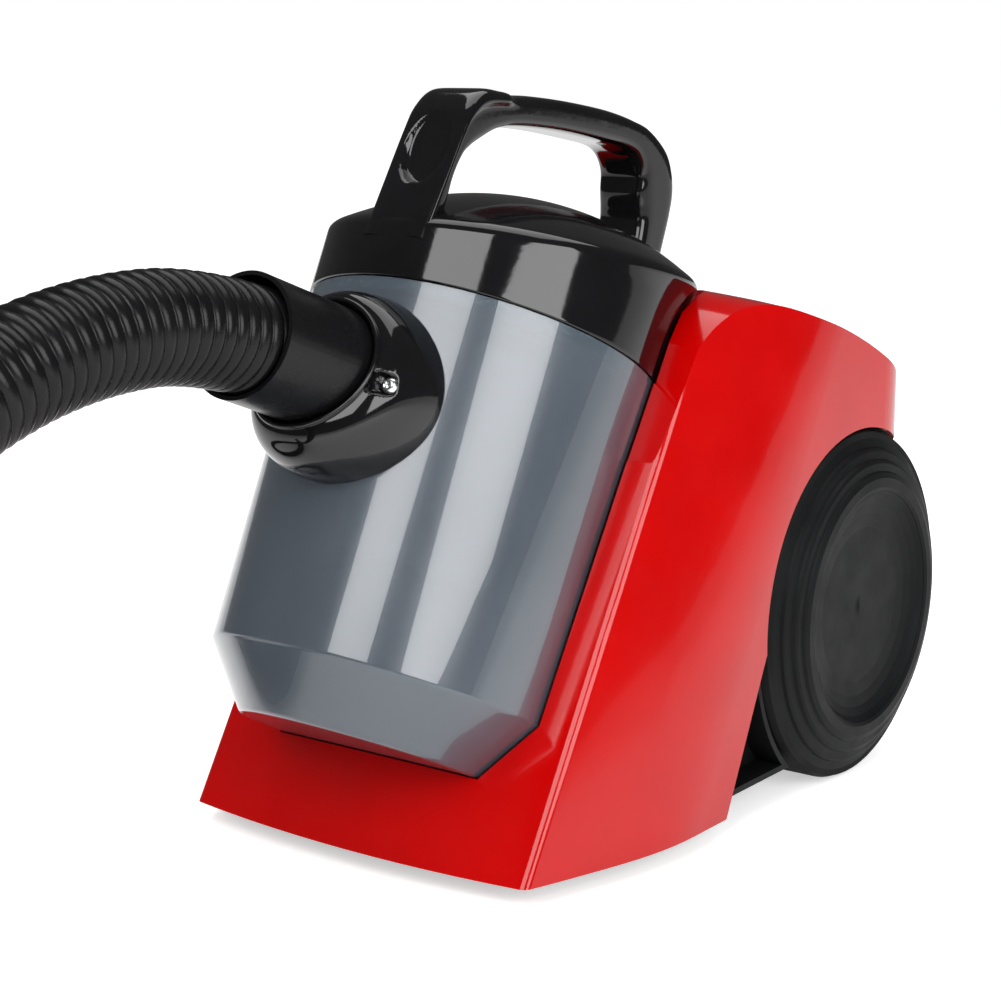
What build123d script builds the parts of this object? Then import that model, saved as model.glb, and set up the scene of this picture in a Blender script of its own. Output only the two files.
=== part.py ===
from build123d import *
import math
import os

# Canister vacuum cleaner with a leaning see-through dust cup.
# Millimetres, +Z up, front towards -Y. The saved parts have their origin on the floor, under the middle of the
# machine's box. The machine is drawn from a zero RIDE_HEIGHT above the floor, and save() moves it into place.

# ---- overall ----
RIDE_HEIGHT = 5.0        # the drawing's zero height above the floor
WHEEL_RADIUS = 76.2
WHEEL_Y = 94.4
WHEEL_OUTER_X = 110.6    # outermost face of each wheel
CUP_FOOT_Y = -136.7      # where the cup's axis meets the drawing's zero height
CUP_TILT = 27.6          # the cup leans back by this angle
WALL = 2.5               # moulded casing wall
LIFT_GAP = 1.4           # cup to recess, all round
BODY_GAP = 0.4           # between pieces on different bodies
RUN_GAP = 0.06           # radial running clearance on pins

# ---- dust cup, sizes along and across its own axis ----
CUP_BASE_S = 45.9
CUP_CREASE_S = 70.5
CUP_TOP_S = 213.4
CUP_BASE_R = 49.4
CUP_CREASE_R = 68.0
CUP_TOP_R = 71.6
CUP_WALL = 2.4

# ---- lid ----
LID_RIM_R = 72.4
LID_BAND_S = 246.0
LID_BAND_R = 72.9
LID_FLARE_S = 265.0
LID_FLARE_R = 79.5
DOME_S = 252.5           # height of the dome's rim on the cup's axis
DOME_RISE = 24.6
DOME_LEAN = 11.9         # the dome's rim is higher at the rear
LIP_DEPTH = 8.0
TAIL_HALF_WIDTH = 24.0   # rear tail of the lid that carries the air to the motor
TAIL_FRONT_Y = 56.0
TAIL_REAR_Y = 102.0
TAIL_LOW_S = 236.0
TAIL_TOP_S = 277.0
PORT_RADIUS = 10.5
PORT_Y = 87.0

# ---- handle ----
GRIP_WIDTH = 26.0
BLADE_WIDTH = 30.0

# ---- filter ----
FILTER_RADIUS = 38.0
FILTER_BORE = 24.0
FILTER_LENGTH = 92.0
PLEATS = 24

# ---- hose inlet ----
INLET_S = 173.0          # where the inlet axis meets the cup's front
INLET_DROP = 7.4         # degrees below the cup's own normal
CUFF_OUTER_R = 23.5
CUFF_WALL = 1.6
CUFF_REACH = 62.5        # from the cup's front to the cuff's mouth
CUFF_SEAT = 18.0         # how far the cuff goes in past the cup's front
COLLAR_BASE_R = 37.5
COLLAR_MOUTH_R = 28.5
COLLAR_LIP_R = 27.0
HOSE_RADIUS = 20.0
HOSE_WALL = 1.6

# ---- housing ----
HOUSING_FLOOR = 4.0
CREASE_X = 83.0
SIDE_X = 102.6
LEAN = 0.594             # front panel: backwards travel for each unit of height
FRONT_BULGE = 6.6
REAR_Y = 157.0
REAR_CORNER = 42.0
HOOD_LINE = ((-9.0, 196.5), (3.0, 206.0), (15.5, 211.2), (32.5, 212.2), (49.5, 208.4), (78.5, 199.4),
             (104.0, 189.4), (123.0, 180.2), (143.0, 168.6), (170.0, 150.6))   # the hood's middle, from the side
HOOD_SLOPE = 23.0        # degrees down towards the rear, at the power button
HOOD_CROWN = 5.0         # rise of the middle above the sides
CREASE_EDGE = 4.0        # rounding of the two front corners
HOOD_STEP_Z = 150.0      # below this the front panel alone shapes the front
FRONT_SLACK = 2.0

# ---- wheels and castor ----
WHEEL_WIDTH = 20.0
WHEEL_FACE_X = 102.0     # outer edge of the tread
AXLE_RADIUS = 5.0
CAP_RADIUS = 50.4
ARCH_GAP = 3.0
CASTOR_Y = -98.5
CASTOR_TRAIL = 5.0
CASTOR_RADIUS = 9.0
CASTOR_WIDTH = 9.0
CASTOR_PIN_R = 3.0

# ---- motor, upright axis ----
MOTOR_Y = 84.0
MOTOR_LOW_Z = 26.0
MOTOR_RADIUS = 46.0
MOTOR_HEIGHT = 70.0
SHROUD_RADIUS = 51.0
SHROUD_HEIGHT = 32.0
SHAFT_RADIUS = 4.0
INTAKE_RADIUS = 17.0

# ---- small fittings ----
BUTTON_RADIUS = 11.0
BUTTON_Y = 128.0
BUTTON_TRAVEL = 4.0
GRILLE_WIDTH = 84.0
GRILLE_HEIGHT = 50.0
GRILLE_Z = 98.0
CORD_BORE_R = 3.6
CORD_X = -46.0
CORD_Z = 36.0
SCREW_R = 1.6
SCREW_HEAD_R = 3.2

tilt = math.radians(CUP_TILT)
# The front of the cup at its crease, and the rear of the wheels, end up equally far from the origin.
cup_front_y = CUP_FOOT_Y - CUP_CREASE_R * math.cos(tilt) + CUP_CREASE_S * math.sin(tilt)
CENTRE_SHIFT = -(cup_front_y + WHEEL_Y + WHEEL_RADIUS) / 2
TO_FLOOR = Pos(0, CENTRE_SHIFT, RIDE_HEIGHT)
CUP = Pos(0, CUP_FOOT_Y, 0) * Rot(-CUP_TILT, 0, 0)


def cup_point(y, s):
    """World Y and Z of a point y across and s along the cup's axis."""
    return (CUP_FOOT_Y + y * math.cos(tilt) + s * math.sin(tilt),
            -y * math.sin(tilt) + s * math.cos(tilt))


def turned(*points):
    """A solid turned about Z from a closed outline of (radius, height) points."""
    return revolve(Plane.XZ * make_face(Polyline(*points, close=True)), Axis.Z)


def disc(radius, low, high, bore=0):
    """A plate or tube about Z, from low to high."""
    solid = Pos(0, 0, low) * Cylinder(radius, high - low, align=(Align.CENTER, Align.CENTER, Align.MIN))
    if bore:
        solid -= Pos(0, 0, low - 1) * Cylinder(bore, high - low + 2, align=(Align.CENTER, Align.CENTER, Align.MIN))
    return solid


def block(x0, x1, y0, y1, z0, z1):
    """A box between two corners."""
    return Pos((x0 + x1) / 2, (y0 + y1) / 2, (z0 + z1) / 2) * Box(x1 - x0, y1 - y0, z1 - z0)


def mirrored(shape):
    """The shape and its twin on the other side, as separate solids."""
    return Compound(children=[*shape.solids(), *mirror(shape, Plane.YZ).solids()])


def save(name, shape, place=TO_FLOOR):
    """Writes one node, moved from the drawing's zero to the floor."""
    solids = (place * shape).solids()
    export_step(solids[0] if len(solids) == 1 else Compound(children=list(solids)), f"parts/{name}.step")


os.makedirs("parts", exist_ok=True)

# ======== dust cup ========
cup_profile = [(0, CUP_BASE_S), (CUP_BASE_R, CUP_BASE_S), (CUP_CREASE_R, CUP_CREASE_S), (CUP_TOP_R, CUP_TOP_S)]
CUP_EDGE = 3.0
cup_outline = make_face(Polyline(*cup_profile, (0, CUP_TOP_S), close=True))
cup_corners = [v for v in cup_outline.vertices() if v.X > 1 and v.Y < CUP_TOP_S - 1]
cup_full = revolve(Plane.XZ * fillet(cup_corners, CUP_EDGE), Axis.Z)
cup_envelope = turned(*cup_profile, (CUP_TOP_R, CUP_TOP_S + 60), (0, CUP_TOP_S + 60))
cup_hollow = turned((0, CUP_BASE_S + CUP_WALL), (CUP_BASE_R - 0.6 * CUP_WALL, CUP_BASE_S + CUP_WALL),
                    (CUP_CREASE_R - CUP_WALL, CUP_CREASE_S + 0.4 * CUP_WALL),
                    (CUP_TOP_R - CUP_WALL, CUP_TOP_S + 1), (0, CUP_TOP_S + 1))

# The inlet axis starts at the cup's front and points forward; its frame has Z along that axis.
inlet_front_y = -(CUP_CREASE_R + (CUP_TOP_R - CUP_CREASE_R)
                  * (INLET_S - CUP_CREASE_S) / (CUP_TOP_S - CUP_CREASE_S))
INLET = Pos(0, inlet_front_y, INLET_S) * Rot(90 + INLET_DROP, 0, 0)
inlet_bore_r = CUFF_OUTER_R + BODY_GAP
collar_tube_r = inlet_bore_r + WALL
cup_hole = INLET * disc(collar_tube_r, -40, 30)
dust_cup = cup_full - cup_hollow - cup_hole
save("dust_cup", CUP * dust_cup)

# ======== inlet collar: a cone on the cup's front with an oblique mouth and a spigot through the wall ========
COLLAR_LENGTH = 36.0
cone = turned((0, -30), (COLLAR_BASE_R + 6, -30), (COLLAR_BASE_R + 0.5, 0), (COLLAR_MOUTH_R, COLLAR_LENGTH - 6),
              (COLLAR_LIP_R, COLLAR_LENGTH + 12), (0, COLLAR_LENGTH + 12))
mouth_cut = Pos(0, 0, 27.5) * Rot(16, 0, 0) * Pos(0, 0, 50) * Box(120, 120, 100)
collar_skin = INLET * (cone - mouth_cut) - cup_envelope
hollow_cone = INLET * (turned((0, -31), (COLLAR_BASE_R + 3.5, -31), (COLLAR_BASE_R - 2, 0),
                              (collar_tube_r + 0.4, 15), (0, 15)) - disc(collar_tube_r, -32, 16))
SPIGOT_DEPTH = 20.0
spigot = INLET * disc(collar_tube_r, -SPIGOT_DEPTH, 12)
collar_bore = INLET * disc(inlet_bore_r, -SPIGOT_DEPTH - 1, 80)
SCREW_X = 30.5
SCREW_OUT = 17.5
collar_solid = (collar_skin - hollow_cone) + spigot
screw_place = Pos(SCREW_X, 0, 0)
pocket = INLET * screw_place * (disc(4.6, SCREW_OUT, 60) + Pos(6, 0, 40) * Box(12, 9.2, 45))
pocket_left = INLET * Pos(-SCREW_X, 0, 0) * (disc(4.6, SCREW_OUT, 60) + Pos(-6, 0, 40) * Box(12, 9.2, 45))
screw_post = INLET * screw_place * disc(4.6, -12, SCREW_OUT) - cup_envelope
screw_post_left = INLET * Pos(-SCREW_X, 0, 0) * disc(4.6, -12, SCREW_OUT) - cup_envelope
screw_shank = INLET * screw_place * disc(SCREW_R, 2, SCREW_OUT + 1)
screw_shank_left = INLET * Pos(-SCREW_X, 0, 0) * disc(SCREW_R, 2, SCREW_OUT + 1)
inlet_collar = (collar_solid + screw_post + screw_post_left - pocket - pocket_left
                - screw_shank - screw_shank_left - collar_bore)
save("inlet_collar", CUP * inlet_collar)

# Two cross-head screws hold the collar to the cup.
head = turned((0, 0), (SCREW_HEAD_R, 0), (SCREW_HEAD_R, 1.2), (1.4, 2.6), (0, 2.6))
head -= Pos(0, 0, 2.2) * Box(3.4, 0.8, 1.6) + Pos(0, 0, 2.2) * Box(0.8, 3.4, 1.6)
collar_screw = Pos(0, 0, SCREW_OUT) * head + disc(SCREW_R, 2, SCREW_OUT)
save("collar_screws", CUP * Compound(children=[*(INLET * Pos(SCREW_X, 0, 0) * collar_screw).solids(),
                                               *(INLET * Pos(-SCREW_X, 0, 0) * collar_screw).solids()]))

# ======== lid ========


def lid_form(inset, low):
    """The lid's round band and its dome, which leans towards the front; inset gives the hollow inside."""
    band = turned((0, low), (LID_RIM_R - inset, low), (LID_BAND_R - inset, LID_BAND_S),
                  (LID_FLARE_R - 1.2 * inset, LID_FLARE_S), (LID_FLARE_R - 1.2 * inset, 300), (0, 300))
    top = DOME_RISE - inset
    curve = Spline((0, top), (40, top - 5.9), (72, top - 19.9), (110, top - 50), tangents=[(1, 0), (0.75, -1)])
    face = make_face([curve, Line(curve @ 1, (110, -90)), Line((110, -90), (0, -90)), Line((0, -90), (0, top))])
    dome = Pos(0, 0, DOME_S) * Rot(DOME_LEAN, 0, 0) * revolve(Plane.XZ * face, Axis.Z)
    return band & dome


lid_outer = lid_form(0, CUP_TOP_S)
tail = block(-TAIL_HALF_WIDTH, TAIL_HALF_WIDTH, TAIL_FRONT_Y, TAIL_REAR_Y, TAIL_LOW_S, TAIL_TOP_S)
tail = fillet(tail.edges().filter_by(Axis.Z).group_by(Axis.Y)[-1], 10.0)
lid_cavity = lid_form(WALL, CUP_TOP_S - 1)
tail_cavity = block(-TAIL_HALF_WIDTH + WALL, TAIL_HALF_WIDTH - WALL, TAIL_FRONT_Y - 8, TAIL_REAR_Y - WALL,
                    TAIL_LOW_S + WALL, TAIL_TOP_S - WALL)
LID_LIP_R = CUP_TOP_R - CUP_WALL - 1.2
lip = disc(LID_LIP_R, CUP_TOP_S - LIP_DEPTH, CUP_TOP_S + 4, LID_LIP_R - WALL)
lip_web = disc(LID_RIM_R - 0.5 * WALL, CUP_TOP_S, CUP_TOP_S + 4, LID_LIP_R - WALL)
port = Pos(0, PORT_Y, TAIL_LOW_S) * Cylinder(PORT_RADIUS, 12)
lid_shell = (lid_outer + tail) - lid_cavity - tail_cavity - port
lid_shell += lip + lip_web
seat_gap = disc(LID_RIM_R + 5, CUP_TOP_S - 1, CUP_TOP_S + BODY_GAP, LID_LIP_R)
lid_shell -= seat_gap
save("lid_shell", CUP * lid_shell)
lid_seal_face = CUP_TOP_S - LIP_DEPTH + 2
seal_groove_r = LID_LIP_R + 0.8
save("lid_seal", CUP * disc(seal_groove_r, lid_seal_face, lid_seal_face + 3, LID_LIP_R))

# ======== carrying handle: a loop in the middle plane, from the lid's front to its tail ========
outer_edge = Spline((-68, 286), (-61.5, 296.5), (-43, 303.5), (-5, 319.7), (42, 334.5), (69.5, 334), (81.7, 320.5),
                    (84.8, 296.7), (86.5, TAIL_TOP_S - 4))
inner_edge = Spline((70, TAIL_TOP_S - 12), (69, 296), (61, 309), (45, 321.5), (14.5, 312.7), (-29, 295.8), (-53, 281.7),
                    (-60.5, 266.8), (-61.5, 246))
handle_face = make_face([outer_edge, Line((86.5, TAIL_TOP_S - 4), (70, TAIL_TOP_S - 12)), inner_edge,
                         Line((-61.5, 246), (-61.5, 236)), Line((-61.5, 236), (-71.4, 236)),
                         Line((-71.4, 236), (-68, 286))])
# The outline is drawn across (Y) and along (Z) the cup's axis, and pushed out both ways in X.
handle_loop = extrude(Plane.YZ * handle_face, GRIP_WIDTH / 2, both=True)
blade = extrude(Plane.YZ * make_face(Polyline((-71.4, 236), (-68, 286), (-64, 286), (-66, 236), close=True)),
                BLADE_WIDTH / 2, both=True)
scoop = Pos(0, -73.5, 268) * Rot(4, 0, 0) * scale(Sphere(1), (10.5, 7, 16))
handle_solid = handle_loop + blade - scoop
carry_handle = handle_solid - lid_outer - tail - lid_cavity
carry_handle = max(carry_handle.solids(), key=lambda piece: piece.volume)
HANDLE_SCREW_S = 284.0
handle_screw_hole = Pos(GRIP_WIDTH / 2, 78, HANDLE_SCREW_S + 4) * Rot(0, 90, 0)
carry_handle -= handle_screw_hole * disc(SCREW_HEAD_R, -3, 1)
carry_handle -= handle_screw_hole * disc(SCREW_R, -14, 1)
save("carry_handle", CUP * carry_handle)
save("handle_screw", CUP * handle_screw_hole * (disc(SCREW_HEAD_R - 0.1, -3, -1.4) + disc(SCREW_R, -14, -3)))

# ======== filter, hanging under the lid ========
filter_top = CUP_TOP_S + 4
frame_plate = disc(LID_LIP_R - WALL, filter_top - 4, filter_top - 1, FILTER_BORE)
frame_neck = disc(FILTER_RADIUS + 3, filter_top - 12, filter_top - 4, FILTER_RADIUS)
frame_cap_s = filter_top - 12 - FILTER_LENGTH
ribs = [Rot(0, 0, 60 * i) * block(FILTER_RADIUS + 0.6, FILTER_RADIUS + 3, -2, 2, frame_cap_s, filter_top - 11)
        for i in range(6)]
frame_foot = disc(FILTER_RADIUS + 3, frame_cap_s - 3, frame_cap_s, FILTER_BORE)
save("filter_frame", CUP * (frame_plate + frame_neck + frame_foot + ribs))
pleat_points = []
for i in range(PLEATS):
    for radius, turn in ((FILTER_RADIUS, 0), (FILTER_RADIUS - 9, 0.5)):
        angle = 2 * math.pi * (i + turn) / PLEATS
        pleat_points.append((radius * math.cos(angle), radius * math.sin(angle)))
pleats = extrude(make_face(Polyline(*pleat_points, close=True)) - Circle(FILTER_BORE), filter_top - 4 - frame_cap_s)
save("filter_pleats", CUP * Pos(0, 0, frame_cap_s) * pleats)
save("filter_cap", CUP * (disc(FILTER_RADIUS + 3, frame_cap_s - 6, frame_cap_s - 3)
                          + disc(FILTER_BORE, frame_cap_s - 3, frame_cap_s)))

# ======== housing ========
CREASE_Y = CUP_FOOT_Y + 12.2     # crease line at floor level, behind the cup's foot
HOOD_SIDE = 110.0


def plan_body(inset):
    """The casing seen from above, pushed up along the lean of the front panel."""
    front = CREASE_Y + inset
    outline = make_face([
        ThreePointArc((-CREASE_X + inset, front), (0, front - FRONT_BULGE), (CREASE_X - inset, front)),
        Spline((CREASE_X - inset, front), (CREASE_X + 8.7 - inset, front + 27), (SIDE_X - inset, front + 85),
               tangents=[(0.36, 1), (0, 1)]),
        Line((SIDE_X - inset, front + 85), (SIDE_X - inset, 400)),
        Line((SIDE_X - inset, 400), (-SIDE_X + inset, 400)),
        Line((-SIDE_X + inset, 400), (-SIDE_X + inset, front + 85)),
        Spline((-SIDE_X + inset, front + 85), (-CREASE_X - 8.7 + inset, front + 27), (-CREASE_X + inset, front),
               tangents=[(0, -1), (0.36, -1)])])
    corners = [v for v in outline.vertices() if abs(v.Y - front) < 0.1]
    outline = fillet(corners, CREASE_EDGE)
    height = 240
    return extrude(outline, amount=height * math.hypot(1, LEAN), dir=(0, LEAN, 1))


def hood_profile(drop, inset, low):
    """Side view of the casing at one distance from the middle: the front edge, the hood's curve and the rear."""
    rear = REAR_Y - inset
    front = CREASE_Y - 100
    hood = Spline([(y + 0.4 * inset, z - drop - inset) for y, z in HOOD_LINE])
    start, finish = hood @ 0, hood @ 1
    low_front = (start.X - LEAN * (start.Y - HOOD_STEP_Z) - FRONT_SLACK, HOOD_STEP_Z)
    edges = [hood, Line(finish, (finish.X, low)), Line((finish.X, low), (front, low)),
             Line((front, low), (front, HOOD_STEP_Z)), Line((front, HOOD_STEP_Z), low_front), Line(low_front, start)]
    return make_face(edges) & Pos(rear - 300, 150) * Rectangle(600, 400)


def hood_body(inset, low):
    """The casing's top: higher along the middle than at the sides."""
    sections = []
    for x in (-HOOD_SIDE, 0, HOOD_SIDE):
        drop = HOOD_CROWN * (x / CREASE_X) ** 2
        sections.append(Plane.YZ.offset(x) * hood_profile(drop, inset, low))
    return loft(sections)


def rear_body(inset):
    """Vertical block with the two rounded rear corners."""
    reach = 400
    shape = block(-SIDE_X + inset, SIDE_X - inset, REAR_Y - inset - reach, REAR_Y - inset, -5, 260)
    return fillet(shape.edges().filter_by(Axis.Z).group_by(Axis.Y)[-1], REAR_CORNER - inset)


casing = plan_body(0) & hood_body(0, HOUSING_FLOOR) & rear_body(0)
casing_inner = plan_body(WALL) & hood_body(WALL, -1) & rear_body(WALL)

# The recess that the cup and lid drop into, and its wall, follow the cup's and the lid's outlines.
lid_low_s = CUP_TOP_S - 1.0


def recess(grow):
    return turned((0, CUP_BASE_S - BODY_GAP - grow), (CUP_BASE_R + LIFT_GAP + 0.4 * grow, CUP_BASE_S - BODY_GAP - grow),
                  (CUP_CREASE_R + LIFT_GAP + grow, CUP_CREASE_S - 0.4 * grow),
                  (CUP_TOP_R + LIFT_GAP + grow, lid_low_s - grow), (LID_RIM_R + LIFT_GAP + grow, lid_low_s - grow),
                  (LID_BAND_R + LIFT_GAP + grow, LID_BAND_S), (LID_FLARE_R + LIFT_GAP + grow, LID_FLARE_S),
                  (LID_FLARE_R + LIFT_GAP + grow, 330), (0, 330))


POCKET_HALF = TAIL_HALF_WIDTH + LIFT_GAP
pocket_floor_s = TAIL_LOW_S - 3.5
tail_pocket = block(-POCKET_HALF, POCKET_HALF, 30, TAIL_REAR_Y + LIFT_GAP, pocket_floor_s, 330)
tail_pocket_wall = block(-POCKET_HALF - WALL, POCKET_HALF + WALL, 30, TAIL_REAR_Y + LIFT_GAP + WALL,
                         pocket_floor_s - WALL, 330)
duct_mouth = Pos(0, PORT_Y, pocket_floor_s) * Cylinder(PORT_RADIUS, 20)
housing = casing - casing_inner
housing += (CUP * (recess(WALL) + tail_pocket_wall)) & casing
housing -= CUP * (recess(0) + tail_pocket + duct_mouth)

# Wheel arches: the side panel ends at an arc round the wheel and a straight edge down to the sill.
WHEEL_Z = WHEEL_RADIUS - RIDE_HEIGHT
ARCH_RADIUS = WHEEL_RADIUS + ARCH_GAP
WELL_X = WHEEL_FACE_X - WHEEL_WIDTH - 2.0
PANEL_ARC = WHEEL_RADIUS + 0.8
SILL_REAR_Y = -12.0
arch_tool = Pos(0, WHEEL_Y, WHEEL_Z) * Rot(0, 90, 0) * disc(PANEL_ARC, -SIDE_X - 10, SIDE_X + 10)
sill_outline = Polyline((SILL_REAR_Y, -20), (SILL_REAR_Y, HOUSING_FLOOR), (WHEEL_Y - PANEL_ARC, WHEEL_Z - 6),
                        (WHEEL_Y, WHEEL_Z), (REAR_Y + 30, WHEEL_Z), (REAR_Y + 30, -20), close=True)
sill_tool = extrude(Plane.YZ * make_face(sill_outline), SIDE_X + 10, both=True)
side_zone = block(WELL_X - WALL, SIDE_X + 9, -90, REAR_Y + 40, -20, 260)
side_zones = side_zone + mirror(side_zone, Plane.YZ)
housing -= (arch_tool + sill_tool) & side_zones
wells = Pos(0, WHEEL_Y, WHEEL_Z) * Rot(0, 90, 0) * disc(ARCH_RADIUS, -120, 120)
well_space = wells & (block(WELL_X, 120, -100, 260, -5, 200) + block(-120, -WELL_X, -100, 260, -5, 200))
housing -= well_space & block(WALL - SIDE_X, SIDE_X - WALL, -100, 260, -5, 200)

button_rise = (Spline(HOOD_LINE) & Line((BUTTON_Y, 0), (BUTTON_Y, 300))).vertices()[0].Y
BUTTON = Pos(0, BUTTON_Y, button_rise) * Rot(-HOOD_SLOPE, 0, 0)
housing -= BUTTON * Cylinder(BUTTON_RADIUS + BODY_GAP, 20)
GRILLE_LOW = GRILLE_Z - GRILLE_HEIGHT / 2
GRILLE_TOP = GRILLE_Z + GRILLE_HEIGHT / 2
housing -= block(-GRILLE_WIDTH / 2, GRILLE_WIDTH / 2, REAR_Y - 8, REAR_Y + 5, GRILLE_LOW, GRILLE_TOP)
cord_hole = Pos(CORD_X, REAR_Y, CORD_Z) * Rot(-90, 0, 0)
GLAND_R = CORD_BORE_R + 3.4
housing -= cord_hole * disc(GLAND_R, -10, 10)
upper_housing = max(housing.solids(), key=lambda piece: piece.volume)
save("upper_housing", upper_housing)

# ======== base pan: floor, wheel wells and axle bosses ========
PAN_LOW = 11.0
PAN_TOP = PAN_LOW + WALL
floor_plate = casing_inner & block(-120, 120, -200, 200, PAN_LOW, PAN_TOP)
rear_gap = block(WELL_X, 120, WHEEL_Y, 260, -5, WHEEL_Z)
well_space += rear_gap + mirror(rear_gap, Plane.YZ)
cup_room = CUP * recess(WALL)
well_wall = block(WELL_X - WALL, WELL_X, WHEEL_Y - ARCH_RADIUS - WALL, REAR_Y, PAN_LOW, 2 * WHEEL_Z + 10)
liner = Pos(0, WHEEL_Y, WHEEL_Z) * Rot(0, 90, 0) * disc(ARCH_RADIUS + WALL, WELL_X - WALL, SIDE_X - WALL, ARCH_RADIUS)
SILL_X = 88.0
sill_wall = block(SILL_X - WALL, SILL_X, SILL_REAR_Y - 20, WHEEL_Y, PAN_LOW, WHEEL_Z)
boss = Pos(0, WHEEL_Y, WHEEL_Z) * Rot(0, 90, 0) * disc(13, WELL_X - 13, WELL_X)
one_side = well_wall + (liner & block(0, 120, -200, 200, PAN_LOW, 200)) + (sill_wall - wells) + boss
pan = floor_plate + (one_side & casing_inner)
pan += mirror(one_side & casing_inner, Plane.YZ)
pan = pan - well_space - cup_room - CUP * tail_pocket_wall
AXLE_IN = WELL_X - 12
AXLE_OUT = WHEEL_FACE_X - 1.2
axle = Pos(0, WHEEL_Y, WHEEL_Z) * Rot(0, 90, 0) * disc(AXLE_RADIUS, AXLE_IN, AXLE_OUT)
pan -= axle + mirror(axle, Plane.YZ)
# The castor turns in a well under the front.
castor_top = PAN_LOW + 9.0
CASTOR_REACH = CASTOR_TRAIL + CASTOR_RADIUS + 2.5
pan += Pos(0, CASTOR_Y, 0) * disc(CASTOR_REACH + WALL, PAN_LOW, castor_top + WALL) - cup_room
pan -= Pos(0, CASTOR_Y, 0) * disc(CASTOR_REACH, 0, castor_top)
CASTOR_PIN_TOP = castor_top + WALL
pan -= Pos(0, CASTOR_Y, 0) * disc(CASTOR_PIN_R + RUN_GAP, castor_top - 1, CASTOR_PIN_TOP + 1)
motor_foot_z = MOTOR_LOW_Z - 4
pan += Pos(0, MOTOR_Y, 0) * disc(MOTOR_RADIUS, PAN_TOP - 0.5, motor_foot_z, MOTOR_RADIUS - 4)
save("base_pan", pan)
save("wheel_axles", axle + mirror(axle, Plane.YZ))
clip = Pos(0, WHEEL_Y, WHEEL_Z) * Rot(0, 90, 0) * disc(9, AXLE_OUT - 0.6, AXLE_OUT + 0.6, AXLE_RADIUS)
save("wheel_clips", mirrored(clip))
pan_screw = disc(SCREW_HEAD_R, PAN_LOW - 1.5, PAN_LOW) + disc(SCREW_R, PAN_LOW, PAN_TOP + 6)
pan_screws = [Pos(x, y, 0) * pan_screw for x, y in ((-62, 30), (62, 30), (-62, -30), (62, -30))]
save("pan_screws", Compound(children=[piece.solids()[0] for piece in pan_screws]))

# ======== wheels: a dished wheel with three ridges, a tread ring and a snap-in centre disc ========
TREAD_DEPTH = 4.0
tread_in_x = WHEEL_FACE_X - WHEEL_WIDTH
hub_bore_r = AXLE_RADIUS + RUN_GAP
rim_r = WHEEL_RADIUS - TREAD_DEPTH
hub_face_x = AXLE_OUT - 1.2
cap_seat_x = WHEEL_OUTER_X - 4.4
wheel_half = turned((hub_bore_r, tread_in_x - 1), (13, tread_in_x - 1), (13, hub_face_x - 4), (CAP_RADIUS, hub_face_x - 4),
                    (CAP_RADIUS + 2.4, cap_seat_x - 1), (CAP_RADIUS + 7.6, cap_seat_x - 2.8), (rim_r - 2, WHEEL_FACE_X - 4),
                    (rim_r - 2, tread_in_x), (rim_r, tread_in_x), (rim_r, WHEEL_FACE_X), (68.6, WHEEL_FACE_X + 1.6),
                    (68.2, WHEEL_FACE_X + 3.0), (67.0, WHEEL_FACE_X + 3.6), (63.8, WHEEL_FACE_X + 4.4),
                    (63.2, WHEEL_FACE_X + 5.8), (62.0, WHEEL_FACE_X + 6.4), (58.8, WHEEL_FACE_X + 6.8),
                    (58.2, WHEEL_FACE_X + 7.8), (56.0, WHEEL_OUTER_X), (CAP_RADIUS + 1.6, WHEEL_OUTER_X),
                    (CAP_RADIUS, WHEEL_OUTER_X - 0.8), (CAP_RADIUS, cap_seat_x - 1),
                    (CAP_RADIUS - 4, hub_face_x - 1.5), (13, hub_face_x - 1.5), (hub_bore_r + 6, hub_face_x),
                    (hub_bore_r, hub_face_x))
tyre_half = turned((rim_r, tread_in_x), (WHEEL_RADIUS - 0.6, tread_in_x), (WHEEL_RADIUS, tread_in_x + 0.8),
                   (WHEEL_RADIUS, WHEEL_FACE_X - 3.5), (WHEEL_RADIUS - 1.2, WHEEL_FACE_X - 0.6), (rim_r, WHEEL_FACE_X))
cap_half = turned((0, WHEEL_OUTER_X - 6.6), (34, WHEEL_OUTER_X - 6.3), (40, WHEEL_OUTER_X - 5.6),
                  (44.5, WHEEL_OUTER_X - 4.4), (48, WHEEL_OUTER_X - 2.8), (CAP_RADIUS - 0.1, WHEEL_OUTER_X - 1.0), (CAP_RADIUS - 0.1, cap_seat_x - 1),
                  (CAP_RADIUS - 3.2, cap_seat_x - 1), (44, WHEEL_OUTER_X - 6.8), (34, WHEEL_OUTER_X - 8.0),
                  (0, WHEEL_OUTER_X - 8.2))
for side in ("left", "right"):
    turn = Pos(0, WHEEL_Y, WHEEL_Z) * Rot(0, -90 if side == "left" else 90, 0)
    save(f"wheel_{side}", turn * wheel_half)
    save(f"tyre_{side}", turn * tyre_half)
    save(f"hub_cap_{side}", turn * cap_half)

# ======== castor: a swivelling fork with one roller ========
fork_top = castor_top - BODY_GAP
roller_y = CASTOR_Y + CASTOR_TRAIL
roller_z = CASTOR_RADIUS - RIDE_HEIGHT
fork = Pos(0, CASTOR_Y, 0) * disc(CASTOR_WIDTH / 2 + 4, fork_top - 2.2, fork_top)
fork += Pos(0, CASTOR_Y, 0) * disc(CASTOR_PIN_R, fork_top - 1, CASTOR_PIN_TOP + 0.8)
for side in (-1, 1):
    inner = side * (CASTOR_WIDTH / 2 + BODY_GAP)
    outer = side * (CASTOR_WIDTH / 2 + BODY_GAP + 2)
    fork += block(min(inner, outer), max(inner, outer), CASTOR_Y - 3, roller_y + 4, roller_z - 4, fork_top - 1)
roller_pin = Pos(0, roller_y, roller_z) * Rot(0, 90, 0) * disc(1.5, -CASTOR_WIDTH / 2 - 2.4, CASTOR_WIDTH / 2 + 2.4)
fork -= roller_pin
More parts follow.
